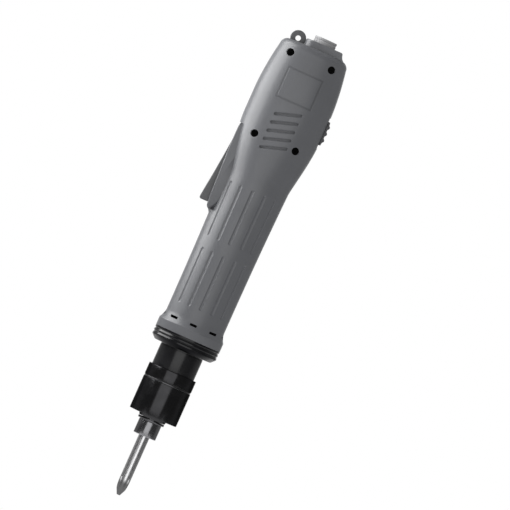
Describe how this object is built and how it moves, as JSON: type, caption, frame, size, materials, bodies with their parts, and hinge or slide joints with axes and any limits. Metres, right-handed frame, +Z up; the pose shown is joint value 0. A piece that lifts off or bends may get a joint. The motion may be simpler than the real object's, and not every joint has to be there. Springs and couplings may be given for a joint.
{
  "type": "electric screwdriver",
  "caption": "In-line electric screwdriver with a ribbed grip, start lever, direction slide, torque nut and quick-change chuck with a cross-point bit.",
  "frame": {"origin": "tip of the bit, on the spindle's axis", "axes": "+Z up the spindle to the head, -Y towards the side with the screw wells, -X towards the start lever, +X towards the direction slide"},
  "size_m": [0.053, 0.044, 0.2902],
  "materials": {
    "housing_plastic": "satin moulded plastic, dark grey",
    "guard_plastic": "satin plastic, darker grey",
    "knob_plastic": "satin plastic, near black",
    "black_metal": "black anodised, satin",
    "black_coat": "black coat, satin",
    "dark_steel": "turned, oiled",
    "bright_steel": "ground",
    "ball_steel": "polished",
    "spring_steel": "drawn wire",
    "inlet_metal": "nickel plated",
    "insert_plastic": "matt black",
    "case_alloy": "die cast",
    "ring_steel": "sintered",
    "planet_steel": "sintered",
    "brass": "machined",
    "bronze": "sintered, oiled",
    "copper": "copper",
    "can_steel": "plated, drawn",
    "magnet": "ferrite, matt",
    "motor_plastic": "moulded, matt black",
    "carbon": "carbon, matt",
    "core_steel": "varnished laminations",
    "washer_plastic": "acetal",
    "board": "glass fibre board, green varnish",
    "component": "electronic component",
    "plunger_plastic": "red"
  },
  "bodies": {
    "housing": {"front_shell": "housing_plastic", "rear_shell": "housing_plastic", "housing_screws": "black_metal", "hang_loop": "guard_plastic", "inlet_shell": "inlet_metal", "inlet_insert": "insert_plastic", "nose_ring": "black_metal", "clutch_housing": "black_metal", "output_bearing": "bright_steel", "spring_race": "bright_steel", "thrust_balls": "ball_steel", "gear_case": "black_metal", "ring_gear": "ring_steel", "motor_plate": "case_alloy", "motor_screws": "dark_steel", "motor_can": "can_steel", "motor_magnets": "magnet", "motor_bushes": "bronze", "motor_end_cap": "motor_plastic", "carbon_brushes": "carbon", "start_switch": "insert_plastic", "lever_pin": "bright_steel", "lever_spring": "spring_steel", "direction_switch": "insert_plastic", "circuit_board": "board", "capacitor": "component", "brake_relay": "component", "power_transistor": "component", "board_screws": "bright_steel", "torque_spring": "spring_steel"},
    "start_lever": {"lever": "guard_plastic"},
    "plunger": {"switch_plunger": "plunger_plastic"},
    "direction_slide": {"direction_knob": "knob_plastic"},
    "seat": {"spring_seat": "brass", "thrust_washer": "washer_plastic"},
    "nut": {"torque_nut": "black_coat", "lock_ring": "black_coat", "lock_washer": "bright_steel"},
    "output": {"spindle": "dark_steel", "stop_washer": "bright_steel", "clutch_plate": "dark_steel", "clutch_balls": "ball_steel", "clutch_cam": "dark_steel", "output_carrier": "dark_steel", "bit": "bright_steel", "lock_balls": "ball_steel", "snap_ring": "spring_steel", "sleeve_spring": "spring_steel"},
    "sleeve": {"chuck_sleeve": "dark_steel"},
    "rotor": {"armature": "core_steel", "commutator": "copper", "motor_pinion": "brass"},
    "first_stage": {"first_carrier": "dark_steel", "second_sun": "brass"},
    "fast_wheel_1": {"fast_planet_1": "planet_steel"},
    "slow_wheel_1": {"slow_planet_1": "planet_steel"},
    "fast_wheel_2": {"fast_planet_2": "planet_steel"},
    "slow_wheel_2": {"slow_planet_2": "planet_steel"},
    "fast_wheel_3": {"fast_planet_3": "planet_steel"},
    "slow_wheel_3": {"slow_planet_3": "planet_steel"}
  },
  "joints": [
    {"name": "lever_press", "type": "hinge", "parent": "housing", "child": "start_lever", "pos_m": [-0.0209, 0, 0.22194], "axis": [0, -1, 0], "range_deg": [0, 4.5], "stiffness_Nm_per_rad": 0.5, "springref_deg": -6.88, "deforming": ["lever_spring"]},
    {"name": "plunger_push", "type": "slide", "parent": "housing", "child": "plunger", "axis": [1, 0, 0], "range_m": [0, 0.0012]},
    {"name": "direction_set", "type": "slide", "parent": "housing", "child": "direction_slide", "axis": [0, 0, 1], "range_m": [-0.002, 0.002]},
    {"name": "torque_set", "type": "hinge", "parent": "seat", "child": "nut", "pos_m": [0, 0, 0.06], "axis": [0, 0, 1], "range_deg": [0, 1260]},
    {"name": "seat_rise", "type": "slide", "parent": "housing", "child": "seat", "axis": [0, 0, 1], "range_m": [0, 0.007], "deforming": ["torque_spring"]},
    {"name": "spindle_spin", "type": "hinge", "parent": "housing", "child": "output", "pos_m": [0, 0, 0.06], "axis": [0, 0, 1], "continuous": true},
    {"name": "sleeve_pull", "type": "slide", "parent": "output", "child": "sleeve", "axis": [0, 0, -1], "range_m": [0, 0.0022], "stiffness_N_per_m": 400, "springref_m": -0.003, "deforming": ["sleeve_spring"]},
    {"name": "rotor_spin", "type": "hinge", "parent": "housing", "child": "rotor", "pos_m": [0, 0, 0.14], "axis": [0, 0, 1], "continuous": true},
    {"name": "first_stage_spin", "type": "hinge", "parent": "housing", "child": "first_stage", "pos_m": [0, 0, 0.11], "axis": [0, 0, 1], "continuous": true},
    {"name": "slow_wheel_1_spin", "type": "hinge", "parent": "output", "child": "slow_wheel_1", "pos_m": [0.00675, 0, 0.105], "axis": [0, 0, 1], "continuous": true},
    {"name": "fast_wheel_1_spin", "type": "hinge", "parent": "first_stage", "child": "fast_wheel_1", "pos_m": [0.00675, 0, 0.1145], "axis": [0, 0, 1], "continuous": true},
    {"name": "slow_wheel_2_spin", "type": "hinge", "parent": "output", "child": "slow_wheel_2", "pos_m": [-0.00337, 0.00585, 0.105], "axis": [0, 0, 1], "continuous": true},
    {"name": "fast_wheel_2_spin", "type": "hinge", "parent": "first_stage", "child": "fast_wheel_2", "pos_m": [-0.00337, 0.00585, 0.1145], "axis": [0, 0, 1], "continuous": true},
    {"name": "slow_wheel_3_spin", "type": "hinge", "parent": "output", "child": "slow_wheel_3", "pos_m": [-0.00337, -0.00585, 0.105], "axis": [0, 0, 1], "continuous": true},
    {"name": "fast_wheel_3_spin", "type": "hinge", "parent": "first_stage", "child": "fast_wheel_3", "pos_m": [-0.00337, -0.00585, 0.1145], "axis": [0, 0, 1], "continuous": true}
  ],
  "couplings": [
    {"joint": "seat_rise", "follows": "torque_set", "m_per_rad": 0.0003183},
    {"joint": "plunger_push", "follows": "lever_press", "m_per_rad": 0.015},
    {"joint": "spindle_spin", "follows": "rotor_spin", "ratio": 0.049383},
    {"joint": "first_stage_spin", "follows": "rotor_spin", "ratio": 0.22222},
    {"joint": "slow_wheel_1_spin", "follows": "rotor_spin", "ratio": -0.13827},
    {"joint": "fast_wheel_1_spin", "follows": "rotor_spin", "ratio": -0.62222},
    {"joint": "slow_wheel_2_spin", "follows": "rotor_spin", "ratio": -0.13827},
    {"joint": "fast_wheel_2_spin", "follows": "rotor_spin", "ratio": -0.62222},
    {"joint": "slow_wheel_3_spin", "follows": "rotor_spin", "ratio": -0.13827},
    {"joint": "fast_wheel_3_spin", "follows": "rotor_spin", "ratio": -0.62222}
  ]
}
